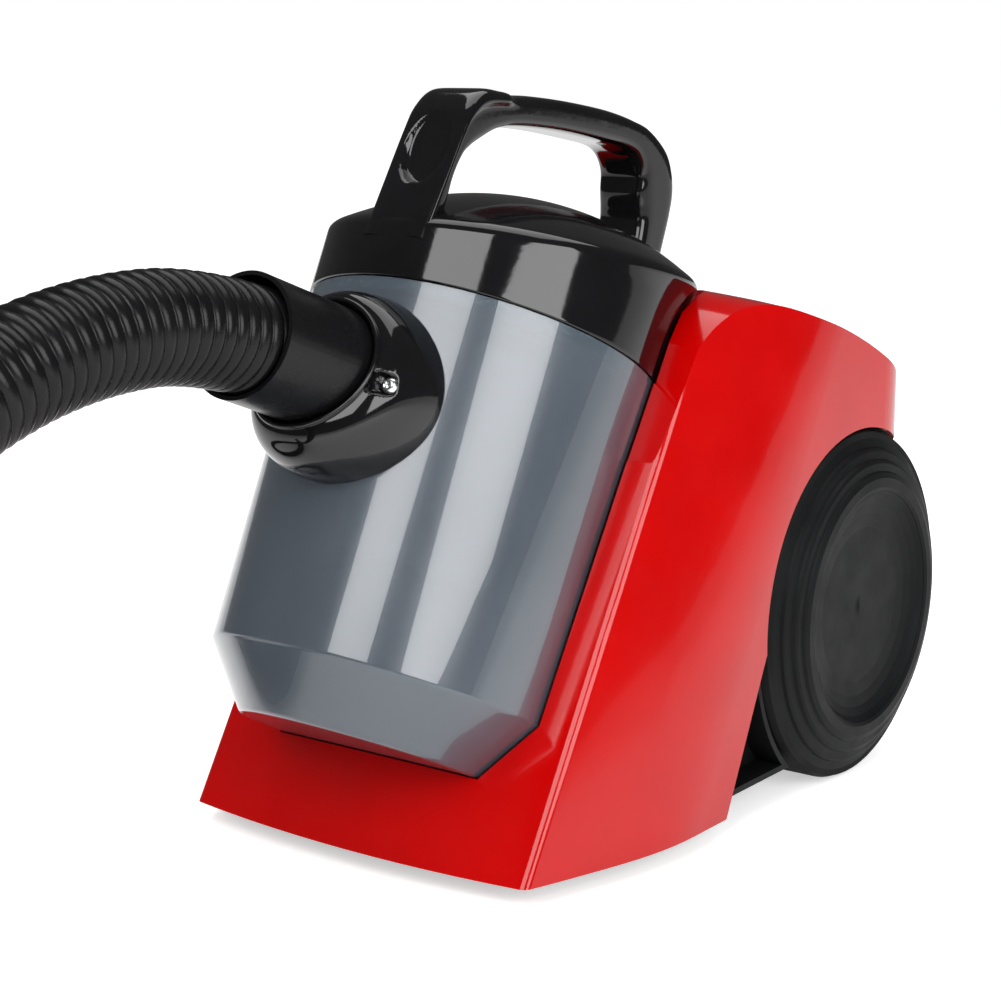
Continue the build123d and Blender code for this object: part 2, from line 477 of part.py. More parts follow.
save("castor_fork", fork)
save("castor_pin", roller_pin)
roller = Pos(0, roller_y, roller_z) * Rot(0, 90, 0) * disc(CASTOR_RADIUS, -CASTOR_WIDTH / 2, CASTOR_WIDTH / 2,
                                                                 1.5 + RUN_GAP)
save("castor_roller", roller)

# ======== motor with its fan, upright behind the cup ========
MOTOR = Pos(0, MOTOR_Y, MOTOR_LOW_Z)
can_wall = 2.0
bearing_r = SHAFT_RADIUS + 5.0
core_r = MOTOR_RADIUS - can_wall
gap_r = 24.0
frame = disc(MOTOR_RADIUS, 0, MOTOR_HEIGHT) - disc(core_r, can_wall, MOTOR_HEIGHT - can_wall)
frame -= disc(bearing_r, -1, MOTOR_HEIGHT + 1)
vents = [Rot(0, 0, 45 * i) * Pos(MOTOR_RADIUS, 0, 14) * Box(12, 14, 10) for i in range(8)]
frame -= vents
save("motor_frame", MOTOR * frame)
stator_low, stator_top = 24.0, 56.0
save("stator_core", MOTOR * disc(core_r, stator_low, stator_top, gap_r))
coil = (disc(core_r - 4, stator_top, stator_top + 7, gap_r + 4)
        & (block(-60, 60, 12, 60, 0, 100) + block(-60, 60, -60, -12, 0, 100)))
coil_low = Pos(0, 0, stator_low - stator_top - 7) * coil
save("field_windings", MOTOR * Compound(children=[*coil.solids(), *coil_low.solids()]))
save("bearing_lower", MOTOR * disc(bearing_r, 0, can_wall + 5, SHAFT_RADIUS + RUN_GAP))
save("bearing_upper", MOTOR * disc(bearing_r, MOTOR_HEIGHT - can_wall - 5, MOTOR_HEIGHT, SHAFT_RADIUS + RUN_GAP))
shaft_top = MOTOR_HEIGHT + 22
save("motor_shaft", MOTOR * disc(SHAFT_RADIUS, 1.0, shaft_top))
armature_gap = 0.6
save("armature", MOTOR * disc(gap_r - armature_gap, stator_low, stator_top, SHAFT_RADIUS))
commutator_r = 11.0
save("commutator", MOTOR * disc(commutator_r, 9, 21, SHAFT_RADIUS))
holder = block(commutator_r + 4, core_r, -6, 6, 10, 20) - block(commutator_r, core_r - 3, -3.5, 3.5, 12, 18)
brush = block(commutator_r + BODY_GAP, core_r - 3, -3.5, 3.5, 12, 18)
save("brush_holders", MOTOR * mirrored(holder))
save("carbon_brushes", MOTOR * mirrored(brush))
shroud = disc(SHROUD_RADIUS, MOTOR_HEIGHT, MOTOR_HEIGHT + SHROUD_HEIGHT)
shroud -= disc(SHROUD_RADIUS - 2, MOTOR_HEIGHT - 1, MOTOR_HEIGHT + SHROUD_HEIGHT - 2)
shroud -= disc(INTAKE_RADIUS, MOTOR_HEIGHT, MOTOR_HEIGHT + SHROUD_HEIGHT + 1)
shroud += disc(SHROUD_RADIUS, MOTOR_HEIGHT, MOTOR_HEIGHT + 2, MOTOR_RADIUS - 10)
save("fan_shroud", MOTOR * shroud)
fan_r = SHROUD_RADIUS - 5
fan_low = MOTOR_HEIGHT + 8
impeller = disc(fan_r, fan_low, fan_low + 1.5) + disc(SHAFT_RADIUS + 4, fan_low, fan_low + 10)
impeller += disc(fan_r, fan_low + 12, fan_low + 13.5, INTAKE_RADIUS + 2)
impeller += [Rot(0, 0, 40 * i) * Pos(fan_r / 2 + 8, 0, 0) * Rot(0, 0, 35) * block(-18, 15, -0.8, 0.8, fan_low + 1, fan_low + 12.5)
             for i in range(9)]
impeller &= disc(fan_r, fan_low, fan_low + 14)
impeller -= disc(SHAFT_RADIUS, fan_low - 1, fan_low + 20)
save("impeller", MOTOR * impeller)
motor_top = MOTOR_LOW_Z + MOTOR_HEIGHT + SHROUD_HEIGHT
save("motor_mount", Pos(0, MOTOR_Y, 0) * disc(MOTOR_RADIUS - 1, motor_foot_z, MOTOR_LOW_Z, bearing_r))
duct_low = motor_top + 4
duct_top = duct_low + 26
duct_front = MOTOR_Y - 54
seal_s = pocket_floor_s - WALL
mouth_y, mouth_z = cup_point(PORT_Y, seal_s)
plenum = block(-27, 27, duct_front, MOTOR_Y + INTAKE_RADIUS + 3, duct_low, duct_top)
plenum_room = block(-27 + WALL, 27 - WALL, duct_front + WALL, MOTOR_Y + INTAKE_RADIUS + 3 - WALL, duct_low + WALL, duct_top - WALL)
neck = CUP * Pos(0, PORT_Y, 0) * disc(PORT_RADIUS + WALL, seal_s - 26, seal_s)
neck_bore = CUP * Pos(0, PORT_Y, 0) * disc(PORT_RADIUS, seal_s - 24, seal_s + 1)
throat = Pos(0, MOTOR_Y, 0) * disc(INTAKE_RADIUS + WALL, motor_top, duct_low + 1)
throat_bore = Pos(0, MOTOR_Y, 0) * disc(INTAKE_RADIUS, motor_top - 1, duct_low + WALL + 1)
motor_duct = plenum + neck + throat - plenum_room - (neck_bore - block(-60, 60, 0, 200, 0, duct_low + WALL)) - throat_bore
motor_duct -= cup_room + CUP * tail_pocket_wall
motor_duct = max(motor_duct.solids(), key=lambda piece: piece.volume)
save("motor_duct", motor_duct)
save("duct_seal", CUP * Pos(0, PORT_Y, 0) * disc(PORT_RADIUS + 2.4, pocket_floor_s, pocket_floor_s + 2.4, PORT_RADIUS))

# ======== power button, its spring and its switch ========
button_depth = 12.0
save("power_button", BUTTON * (disc(BUTTON_RADIUS, -button_depth, 4.4) - disc(BUTTON_RADIUS - 2, -button_depth - 1, 2)))
spring_low = -button_depth - BUTTON_TRAVEL - 3
well = disc(BUTTON_RADIUS + BODY_GAP + 2, spring_low - 2, 5) - disc(BUTTON_RADIUS + BODY_GAP, spring_low, 6)
switch = disc(BUTTON_RADIUS, spring_low - 16, spring_low - 2)
save("switch_body", (BUTTON * (well + switch)) & casing_inner)
save("button_spring", BUTTON * disc(5, spring_low, 2 - BUTTON_TRAVEL - BODY_GAP, 4))

# ======== exhaust: a pull-off grille with its filter pad, and the cord bush ========
grille = block(-GRILLE_WIDTH / 2 + BODY_GAP, GRILLE_WIDTH / 2 - BODY_GAP, REAR_Y - WALL, REAR_Y + 0.4,
               GRILLE_LOW + BODY_GAP, GRILLE_TOP - BODY_GAP)
slots = [block(-GRILLE_WIDTH / 2 + 6, GRILLE_WIDTH / 2 - 6, REAR_Y - 10, REAR_Y + 10, z - 1.7, z + 1.7)
         for z in [GRILLE_Z + 6.2 * i for i in range(-3, 4)]]
save("exhaust_grille", grille - slots)
save("exhaust_filter", block(-GRILLE_WIDTH / 2 + 3, GRILLE_WIDTH / 2 - 3, REAR_Y - WALL - 9, REAR_Y - WALL,
                             GRILLE_LOW + 3, GRILLE_TOP - 3))
gland = disc(GLAND_R, -12, 2, CORD_BORE_R) + disc(GLAND_R + 2.5, 0, 3, CORD_BORE_R) + disc(GLAND_R + 2.5, -5, -WALL, CORD_BORE_R)
save("cord_gland", cord_hole * (gland + disc(CORD_BORE_R + 2, -14, 6, CORD_BORE_R)))

# ======== hose: cuff, ribbed tube, end ferrule, hand grip and suction slider ========
cuff_low = -CUFF_SEAT
cuff = disc(CUFF_OUTER_R, cuff_low, CUFF_REACH, CUFF_OUTER_R - CUFF_WALL)
cuff += disc(CUFF_OUTER_R - CUFF_WALL, cuff_low + 8, cuff_low + 10, HOSE_RADIUS - 3)
save("hose_cuff", CUP * INLET * cuff)
# The hose and its grip are drawn from the floor up.
ON_FLOOR = Pos(0, 0, 0)
HOSE_ROUTE = [(0, -163, 206.3), (0, -203, 219.0), (0, -248, 219.6), (0, -293, 210.5), (0, -340, 188),
              (-2, -384, 152), (-10, -425, 108), (-27, -467, 69), (-60, -510, 40), (-110, -543, 24.5),
              (-171, -560, 20.3), (-237, -554, 20.3), (-298, -524, 20.3), (-344, -474, 20.3), (-367, -410, 20.3),
              (-365, -342, 20.3), (-338, -282, 20.3), (-290, -236, 20.3), (-229, -212, 20.3), (-164, -213, 20.3),
              (-108, -241, 20.3), (-72, -292, 20.8), (-62, -352, 27), (-74, -410, 41)]


def corner_radii(route):
    """The largest fair radius at each corner: 0.45 of the shorter run over the tangent of half the turn."""
    radii = []
    for before, corner, after in zip(route, route[1:], route[2:]):
        first = Vector(*corner) - Vector(*before)
        second = Vector(*after) - Vector(*corner)
        turn = math.radians(first.get_angle(second))
        radii.append(0.45 * min(first.length, second.length) / math.tan(turn / 2))
    return radii


def tube_along(route, radius, bore):
    """A hollow tube along straight runs joined by tangent arcs, its section square to the first run."""
    path = FilletPolyline(*route, radius=corner_radii(route))
    section = Plane(origin=path @ 0, z_dir=path % 0) * (Circle(radius) - Circle(bore))
    return sweep(section, path=path), path.length


print("hose radii", [round(radius) for radius in corner_radii(HOSE_ROUTE)])
hose, hose_length = tube_along(HOSE_ROUTE, HOSE_RADIUS, HOSE_RADIUS - HOSE_WALL)
hose_section = math.pi * (HOSE_RADIUS ** 2 - (HOSE_RADIUS - HOSE_WALL) ** 2)
print("hose length", round(hose_length), "volume over section x length", round(hose.volume / hose_section / hose_length, 4))
save("hose_tube", hose, ON_FLOOR)

# The hand grip follows on from the hose's far end and rests across the hose's first turn.
end = Vector(*HOSE_ROUTE[-1])
end_dir = (end - Vector(*HOSE_ROUTE[-2])).normalized()
FERRULE_BACK = 22.0
FERRULE_FRONT = 12.0
GRIP_RADIUS = 17.5
GRIP_WALL = 2.0
GRIP_BEND_AT = 44.0
GRIP_TIP = (-171, -588, 92)
SPIGOT_RADIUS = 16.0
SPIGOT_LENGTH = 40.0
along_end = Plane(origin=end, z_dir=end_dir).location
ferrule = disc(HOSE_RADIUS + 2.4, -FERRULE_BACK, FERRULE_FRONT, HOSE_RADIUS)
ferrule += disc(HOSE_RADIUS + 2.4, FERRULE_FRONT - 3, FERRULE_FRONT, GRIP_RADIUS - GRIP_WALL)
save("hose_ferrule", along_end * ferrule, ON_FLOOR)
bend = end + end_dir * GRIP_BEND_AT
tip = Vector(*GRIP_TIP)
arm_dir = (tip - bend).normalized()
grip_start = end + end_dir * FERRULE_FRONT
arm_end = tip - arm_dir * SPIGOT_LENGTH
grip_route = [tuple(grip_start), tuple(bend), tuple(arm_end)]
grip, grip_length = tube_along(grip_route, GRIP_RADIUS, GRIP_RADIUS - GRIP_WALL)
at_tip = Plane(origin=arm_end, z_dir=arm_dir, x_dir=Vector(0, 0, 1).cross(arm_dir)).location
grip += at_tip * disc(SPIGOT_RADIUS, -1, SPIGOT_LENGTH, SPIGOT_RADIUS - GRIP_WALL)
grip += at_tip * disc(GRIP_RADIUS, -1, 0, SPIGOT_RADIUS - GRIP_WALL)
SLIDER_AT = -62.0
SLIDER_LENGTH = 26.0
SLIDER_TRAVEL = 12.0
bleed = at_tip * Pos(0, GRIP_RADIUS, SLIDER_AT) * Box(9, 8, 10)
save("hand_grip", grip - bleed, ON_FLOOR)
slider = disc(GRIP_RADIUS + BODY_GAP + 2, SLIDER_AT - SLIDER_LENGTH / 2, SLIDER_AT + SLIDER_LENGTH / 2,
              GRIP_RADIUS + BODY_GAP)
save("suction_slider", at_tip * slider, ON_FLOOR)
print("grip radii", [round(r) for r in corner_radii(grip_route)], "tip", tuple(round(v, 2) for v in tip),
      "axis", tuple(round(v, 5) for v in arm_dir), "spigot start", tuple(round(v, 2) for v in arm_end))
print("cup axis", 0, round(math.sin(tilt), 5), round(math.cos(tilt), 5), "foot", round(CUP_FOOT_Y, 3), "wheel y", round(WHEEL_Y + CENTRE_SHIFT, 3), "shift", round(CENTRE_SHIFT, 3))
inlet_point = CUP * INLET * Pos(0, 0, 0)
inlet_far = CUP * INLET * Pos(0, 0, 100)
print("inlet", [round(v, 3) for v in inlet_point.position], "axis",
      [round(v / 100, 5) for v in (inlet_far.position - inlet_point.position)])
print("button", [round(v, 3) for v in BUTTON.position], "slider", [round(v, 2) for v in (at_tip * Pos(0, 0, SLIDER_AT)).position])
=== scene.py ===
import math

import bmesh
import bpy
import numpy as np
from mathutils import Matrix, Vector


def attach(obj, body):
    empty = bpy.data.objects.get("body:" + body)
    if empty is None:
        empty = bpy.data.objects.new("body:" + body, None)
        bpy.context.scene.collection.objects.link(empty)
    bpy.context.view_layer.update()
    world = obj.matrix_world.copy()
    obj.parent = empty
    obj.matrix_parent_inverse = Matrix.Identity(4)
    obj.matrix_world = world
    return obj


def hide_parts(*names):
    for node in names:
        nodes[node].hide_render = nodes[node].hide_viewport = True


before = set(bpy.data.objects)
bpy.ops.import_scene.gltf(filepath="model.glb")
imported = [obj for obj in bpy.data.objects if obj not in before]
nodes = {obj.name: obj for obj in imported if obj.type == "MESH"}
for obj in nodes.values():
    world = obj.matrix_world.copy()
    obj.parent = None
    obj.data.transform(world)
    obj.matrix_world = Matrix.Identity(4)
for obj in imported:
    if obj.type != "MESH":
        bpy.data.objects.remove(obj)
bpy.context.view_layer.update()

# ======== camera ========
# A short telephoto view from the front left of the machine, a little above it, close enough that the
# hose leaves the picture. It looks down by 11 degrees, with no shift and no depth of field.
camera_place = Vector((0.52617, -0.73566, 0.30662))
camera_turn, camera_drop = math.radians(36.66), math.radians(11.39)
camera_back = Vector((math.sin(camera_turn) * math.cos(camera_drop),
                      -math.cos(camera_turn) * math.cos(camera_drop), math.sin(camera_drop)))
camera_data = bpy.data.cameras.new("camera")
camera_data.sensor_width = 36.0
camera_data.lens = 78.5
camera = bpy.data.objects.new("camera", camera_data)
camera.location = camera_place
camera.rotation_mode = "QUATERNION"
camera.rotation_quaternion = (-camera_back).to_track_quat("-Z", "Y")
bpy.context.scene.collection.objects.link(camera)
bpy.context.scene.camera = camera

# ======== ribbed suction hose ========
# A blown flexible hose of black plastic, 40 mm outside, with rounded ribs 5.7 mm apart. It leaves the
# cuff upwards, sags to the floor and lies there in one open loop.
hose_route = np.array([
    (0, -163, 206.3), (0, -203, 219), (0, -248, 219.6), (0, -293, 210.5), (0, -340, 188), (-2, -384, 152),
    (-10, -425, 108), (-27, -467, 69), (-60, -510, 40), (-110, -543, 24.5), (-171, -560, 20.3),
    (-237, -554, 20.3), (-298, -524, 20.3), (-344, -474, 20.3), (-367, -410, 20.3), (-365, -342, 20.3),
    (-338, -282, 20.3), (-290, -236, 20.3), (-229, -212, 20.3), (-164, -213, 20.3), (-108, -241, 20.3),
    (-72, -292, 20.8), (-62, -352, 27), (-74, -410, 41)]) / 1000.0
hose_radius = 0.020
hose_bore = 0.0172
bore_rings = 160
line_steps = 40
rib_pitch = 0.0057
rib_depth = 0.0017
hose_sides = 40


def smooth_line(points, name):
    """Points of a NURBS spline of order 3 with the given control points, as the curve lays them out."""
    curve = bpy.data.curves.new(name, "CURVE")
    curve.dimensions = "3D"
    curve.resolution_u = line_steps
    spline = curve.splines.new("NURBS")
    spline.points.add(len(points) - 1)
    spline.points.foreach_set("co", np.c_[points, np.ones(len(points))].ravel())
    spline.order_u = 3
    spline.use_endpoint_u = True
    holder = bpy.data.objects.new(name, curve)
    line = bpy.data.meshes.new_from_object(holder)
    found = np.zeros(len(line.vertices) * 3)
    line.vertices.foreach_get("co", found)
    bpy.data.objects.remove(holder)
    return found.reshape(-1, 3)


def lengths_along(line):
    """Distance from the start of a line to each of its points."""
    return np.r_[0, np.cumsum(np.linalg.norm(np.diff(line, axis=0), axis=1))]


def grid_faces(rows, columns, close_rows=False, close_columns=True):
    """Four-sided faces between neighbours on a grid of rows x columns vertices, closed either way."""
    i = np.arange(rows if close_rows else rows - 1)[:, None]
    j = np.arange(columns if close_columns else columns - 1)[None, :]
    below, beside = (i + 1) % rows, (j + 1) % columns
    quads = np.stack(np.broadcast_arrays(i * columns + j, i * columns + beside,
                                         below * columns + beside, below * columns + j), axis=-1)
    return quads.reshape(-1, 4)


def piece_from(name, points, faces, material, body, smooth=True):
    """A mesh object at the origin with its place in its mesh, given its finish and its CAD body."""
    mesh = bpy.data.meshes.new(name)
    mesh.from_pydata(np.asarray(points, float).reshape(-1, 3), [], np.asarray(faces).tolist())
    mesh.materials.append(material)
    mesh.polygons.foreach_set("use_smooth", np.full(len(mesh.polygons), smooth))
    mesh.update()
    made = bpy.data.objects.new(name, mesh)
    bpy.context.scene.collection.objects.link(made)
    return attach(made, body)


def new_finish(name, colour, roughness, specular=0.5, coat=0.0, coat_roughness=0.05):
    """A Principled material with its even values set on the shader, and its node tree for the rest."""
    finish = bpy.data.materials.new(name)
    finish.use_nodes = True
    shader = finish.node_tree.nodes["Principled BSDF"]
    shader.inputs["Base Color"].default_value = (*colour, 1)
    shader.inputs["Roughness"].default_value = roughness
    shader.inputs["Specular IOR Level"].default_value = specular
    shader.inputs["Coat Weight"].default_value = coat
    shader.inputs["Coat Roughness"].default_value = coat_roughness
    return finish, finish.node_tree.nodes, finish.node_tree.links, shader


def add_noise(tree, links, scale, detail=3.0, roughness=0.55):
    """Noise on object coordinates, with its size in cycles per metre."""
    coords = tree.new("ShaderNodeTexCoord")
    noise = tree.new("ShaderNodeTexNoise")
    noise.inputs["Scale"].default_value = scale
    noise.inputs["Detail"].default_value = detail
    noise.inputs["Roughness"].default_value = roughness
    links.new(coords.outputs["Object"], noise.inputs["Vector"])
    return noise


def add_range(tree, links, source, low, high, target):
    """Maps a 0.3 to 0.7 noise value to low..high on a socket."""
    spread = tree.new("ShaderNodeMapRange")
    spread.inputs["From Min"].default_value = 0.3
    spread.inputs["From Max"].default_value = 0.7
    spread.inputs["To Min"].default_value = low
    spread.inputs["To Max"].default_value = high
    links.new(source, spread.inputs["Value"])
    links.new(spread.outputs["Result"], target)


def add_bump(tree, links, source, shader, height, strength=1.0):
    """A bump of the given height in metres."""
    bump = tree.new("ShaderNodeBump")
    bump.inputs["Strength"].default_value = strength
    bump.inputs["Distance"].default_value = height
    links.new(source, bump.inputs["Height"])
    links.new(bump.outputs["Normal"], shader.inputs["Normal"])


def add_shades(tree, links, source, dark, light, shader):
    """Base colour between two shades, by a noise value."""
    ramp = tree.new("ShaderNodeValToRGB")
    ramp.color_ramp.elements[0].position = 0.35
    ramp.color_ramp.elements[0].color = (*dark, 1)
    ramp.color_ramp.elements[1].position = 0.65
    ramp.color_ramp.elements[1].color = (*light, 1)
    links.new(source, ramp.inputs["Fac"])
    links.new(ramp.outputs["Color"], shader.inputs["Base Color"])


def moulded_plastic(name, dark, light, roughness, grain, height, specular=0.5, coat=0.0):
    """Injection-moulded plastic: slow drift of shade and gloss, and a fine surface grain."""
    finish, tree, links, shader = new_finish(name, light, roughness[0], specular, coat)
    drift = add_noise(tree, links, 22.0)
    add_shades(tree, links, drift.outputs["Fac"], dark, light, shader)
    add_range(tree, links, add_noise(tree, links, 60.0, 5.0).outputs["Fac"], *roughness,
              shader.inputs["Roughness"])
    add_bump(tree, links, add_noise(tree, links, grain, 2.0).outputs["Fac"], shader, height)
    return finish


hose_black = moulded_plastic("hose_black", (0.003, 0.003, 0.0035), (0.006, 0.006, 0.0065), (0.2, 0.32),
                             900.0, 0.00004, specular=0.2)

line = smooth_line(hose_route, "hose_line")
travel = lengths_along(line)
hose_length = travel[-1]
rib_count = int(round(hose_length / rib_pitch))
phase_steps = np.array([0.0, 0.07, 0.18, 0.34, 0.5, 0.66, 0.82, 0.93])
phase = np.tile(phase_steps, rib_count)
along = (np.repeat(np.arange(rib_count), len(phase_steps)) + phase) / rib_count * hose_length
along = np.r_[along, hose_length]
ridge = np.r_[np.abs(np.sin(np.pi * phase)) ** 0.55, 0.0]
radius = hose_radius - rib_depth * (1 - ridge)


def tube_points(line, travel, along, radius, sides):
    """Rings square to a line at the given distances: centre + radius (cos a side + sin a up)."""
    centre = np.stack([np.interp(along, travel, line[:, k]) for k in range(3)], axis=1)
    tangent = np.gradient(line, travel, axis=0)
    tangent = np.stack([np.interp(along, travel, tangent[:, k]) for k in range(3)], axis=1)
    tangent /= np.linalg.norm(tangent, axis=1)[:, None]
    side = np.cross(tangent, (0.0, 0.0, 1.0))
    side /= np.linalg.norm(side, axis=1)[:, None]
    up = np.cross(side, tangent)
    angle = np.linspace(0, 2 * np.pi, sides, endpoint=False)
    turn = np.cos(angle)[None, :, None] * side[:, None] + np.sin(angle)[None, :, None] * up[:, None]
    return centre[:, None] + radius[:, None, None] * turn


distinct = np.unique(np.round(travel, 7), return_index=True)[1]
line, travel = line[distinct], travel[distinct]
outside = tube_points(line, travel, along, radius, hose_sides)
inner_along = np.linspace(hose_length, 0, bore_rings)
inside = tube_points(line, travel, inner_along, np.full(bore_rings, hose_bore), hose_sides)
hose_rows = np.concatenate([outside, inside])
hose = piece_from("ribbed_hose", hose_rows, grid_faces(len(hose_rows), hose_sides, close_rows=True),
                  hose_black, "hose")
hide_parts("hose_tube")

# ======== cuff, ferrule, hand grip and suction slider ========
black_satin = moulded_plastic("black_satin", (0.003, 0.003, 0.0035), (0.0055, 0.0055, 0.006), (0.22, 0.32),
                              700.0, 0.00003, specular=0.2)
grey_satin = moulded_plastic("grey_satin", (0.1, 0.105, 0.11), (0.14, 0.145, 0.15), (0.35, 0.5),
                             900.0, 0.00004)


def dress(finish, *names):
    """Gives CAD nodes a finish in their own slots."""
    for name in names:
        nodes[name].data.materials.clear()
        nodes[name].data.materials.append(finish)


dress(black_satin, "hose_cuff", "hose_ferrule", "hand_grip")
dress(grey_satin, "suction_slider")

# ======== lid ========
# A gloss black moulding: a round band that presses onto the cup, a shallow dome that rises towards the
# rear, and a tail at the back that carries the air to the motor.
gloss_black = moulded_plastic("gloss_black", (0.003, 0.003, 0.0034), (0.005, 0.005, 0.0056), (0.05, 0.1),
                              260.0, 0.00002, specular=0.4, coat=0.2)
cup_tilt = math.radians(27.6)
cup_foot_y, ride_height = -139.85, 5.0


def in_cup(x, y, s):
    """World place of points x and y across and s along the cup's axis: turned about X by the tilt, in mm."""
    ahead = cup_foot_y + y * math.cos(cup_tilt) + s * math.sin(cup_tilt)
    height = ride_height - y * math.sin(cup_tilt) + s * math.cos(cup_tilt)
    return np.stack(np.broadcast_arrays(x, ahead, height), axis=-1) / 1000.0


def merged(piece, distance=1e-6):
    """Closes poles and seams: points closer than the distance become one, and faces without area go."""
    shape = bmesh.new()
    shape.from_mesh(piece.data)
    bmesh.ops.remove_doubles(shape, verts=shape.verts, dist=distance)
    bmesh.ops.dissolve_degenerate(shape, edges=shape.edges, dist=distance)
    bmesh.ops.recalc_face_normals(shape, faces=shape.faces)
    shape.to_mesh(piece.data)
    shape.free()
    return piece


lid_sides = 224
lid_turns = np.linspace(0, 2 * np.pi, lid_sides, endpoint=False)
rim_s, rim_radius, rim_inner, lid_wall = 213.8, 72.4, 70.2, 2.5
shoulder_s, shoulder_lean, dome_rise = 252.5, 0.21, 24.5
edge_round = 3.2


def band_radius(s):
    """Radius of the lid's band at a height: nearly straight, then flaring from s = 247."""
    return rim_radius + 0.015 * (s - rim_s) + 0.347 * 3.0 * np.log1p(np.exp((s - 248.5) / 3.0))


shoulder = np.full(lid_turns.shape, shoulder_s)
for settle in range(4):
    shoulder_radius = band_radius(shoulder)
    shoulder = shoulder_s + shoulder_lean * shoulder_radius * np.sin(lid_turns)


def dome(share, drop=0.0):
    """Radius and height on the dome at a share of the way out: a leaning plane plus rise (1 - share ** 2.1)."""
    rho = share * shoulder_radius
    return rho, shoulder_s + shoulder_lean * rho * np.sin(lid_turns) + dome_rise * (1 - share ** 2.1) - drop


def level_rings(*places):
    """One level ring of the lid for each (radius, height)."""
    return [(np.full(lid_sides, r), np.full(lid_sides, s)) for r, s in places]


lid_rows = level_rings((rim_inner, rim_s), (rim_radius - 0.5, rim_s), (rim_radius - 0.1, rim_s + 0.15),
                       (rim_radius, rim_s + 0.5))
for share in np.linspace(0.03, 1, 12):
    height = rim_s + 0.5 + (shoulder - edge_round - rim_s - 0.5) * share
    lid_rows.append((band_radius(height), height))
edge_low = lid_rows[-1]
edge_in = dome(1 - edge_round / 72.0)
for t in np.linspace(0.12, 1, 8):
    corner = (shoulder_radius, shoulder)
    lid_rows.append(tuple((1 - t) ** 2 * p + 2 * t * (1 - t) * q + t ** 2 * r
                          for p, q, r in zip(edge_low, corner, edge_in)))
lid_rows += [dome(share) for share in np.linspace(0.93, 0, 22)]
lid_rows += [dome(share, lid_wall) for share in np.linspace(0, 0.94, 12)]
ledge_s = 218.0
for share in np.linspace(1, 0, 5):
    height = ledge_s + (shoulder - lid_wall - 3 - ledge_s) * share
    lid_rows.append((band_radius(height) - lid_wall, height))
lid_rows += level_rings((69.8, 217.7), (65.8, 217.6), (65.5, 217.3), (65.5, 205.7), (65.8, 205.4),
                        (67.7, 205.4), (68.0, 205.7), (68.0, 213.5), (68.3, 213.8))    # the lip inside the cup
lid_r, lid_s = (np.array([row[k] for row in lid_rows]) for k in (0, 1))
lid = piece_from("lid", in_cup(lid_r * np.cos(lid_turns), lid_r * np.sin(lid_turns), lid_s),
                 grid_faces(len(lid_rows), lid_sides, close_rows=True), gloss_black, "lid")
merged(lid)
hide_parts("lid_shell")


def rounded_block(half_x, y0, y1, s0, s1, corner, edge, sides=96):
    """A box along the cup's axis, as stacked rings: corners rounded in plan, top edge a quarter round."""
    angle = np.linspace(0, 2 * np.pi, sides, endpoint=False)
    middle, half_y = (y0 + y1) / 2, (y1 - y0) / 2
    round_off = np.linspace(0.2, 1.57, 6)
    inset = np.r_[edge, 0.0, 0.0, 0.0, edge * (1 - np.cos(round_off)), half_x]
    rise = np.r_[0.0, edge * 0.2, edge, s1 - s0 - edge, s1 - s0 - edge * (1 - np.sin(round_off)), s1 - s0]
    inset, rise = np.r_[half_x, inset], np.r_[0, rise]
    turn_x, turn_y = np.cos(angle), np.sin(angle)
    hx, hy = half_x - corner, half_y - corner
    core_x, core_y = np.clip(turn_x * 3 * hx, -hx, hx), np.clip(turn_y * 3 * hy, -hy, hy)
    ring_r = np.clip(corner - inset, 0.0, None)[:, None]
    shrink = np.clip((half_x - inset) / (half_x - corner), 0.0, 1.0)[:, None]
    x = core_x * shrink + ring_r * turn_x
    y = middle + core_y * shrink + ring_r * turn_y
    return in_cup(x, y, s0 + rise[:, None] + 0 * x), len(inset), sides


tail_points, tail_rows, tail_sides = rounded_block(24.0, 54.0, 102.0, 236.0, 277.0, 9.0, 2.5)
tail = piece_from("lid_tail", tail_points, grid_faces(tail_rows, tail_sides), gloss_black, "lid")
merged(tail)

# ======== carrying handle ========
# One gloss black loop from the band over to the tail: a flat blade at the front with an oval thumb
# scoop and a crisp edge, running into a rounded grip. It is screwed to the tail from its right side.
handle_outer = np.array([
    (-72.4, 230), (-71.0, 246), (-69.4, 262), (-68.2, 276), (-66.6, 287), (-61.0, 296.5),
    (-50, 301.3), (-40, 304.6),
    (-27.5, 310.5), (-5, 319.7), (22, 329.3), (42, 334.5), (55, 336.4), (71, 334.3), (80, 328.6), (85, 321),
    (87, 311.8), (87.9, 302.4), (88.8, 290), (89.6, 272), (90.4, 255)])
handle_inner = np.array([
    (-61.5, 230), (-61.0, 247), (-61.8, 259), (-60.3, 268), (-57.5, 273), (-53, 278.5),
    (-45, 287), (-36, 292.5),
    (-22, 299), (-2, 307), (24, 316), (40, 321), (50, 321.5), (57, 317), (60.5, 309), (64, 303),
    (66.5, 298),
    (68.3, 290), (69.5, 280), (70.5, 264), (71.5, 250)])


def flowing(points, per_run):
    """Catmull-Rom curve: cubic Hermite runs, with half the neighbours' distance as slopes."""
    slope = np.gradient(points, axis=0)
    t = np.linspace(0, 1, per_run, endpoint=False)[None, :, None]
    p, q, a, b = points[:-1, None], points[1:, None], slope[:-1, None], slope[1:, None]
    run = ((2 * t ** 3 - 3 * t ** 2 + 1) * p + (t ** 3 - 2 * t ** 2 + t) * a
           + (-2 * t ** 3 + 3 * t ** 2) * q + (t ** 3 - t ** 2) * b)
    return np.concatenate([run.reshape(-1, points.shape[1]), points[-1:]])


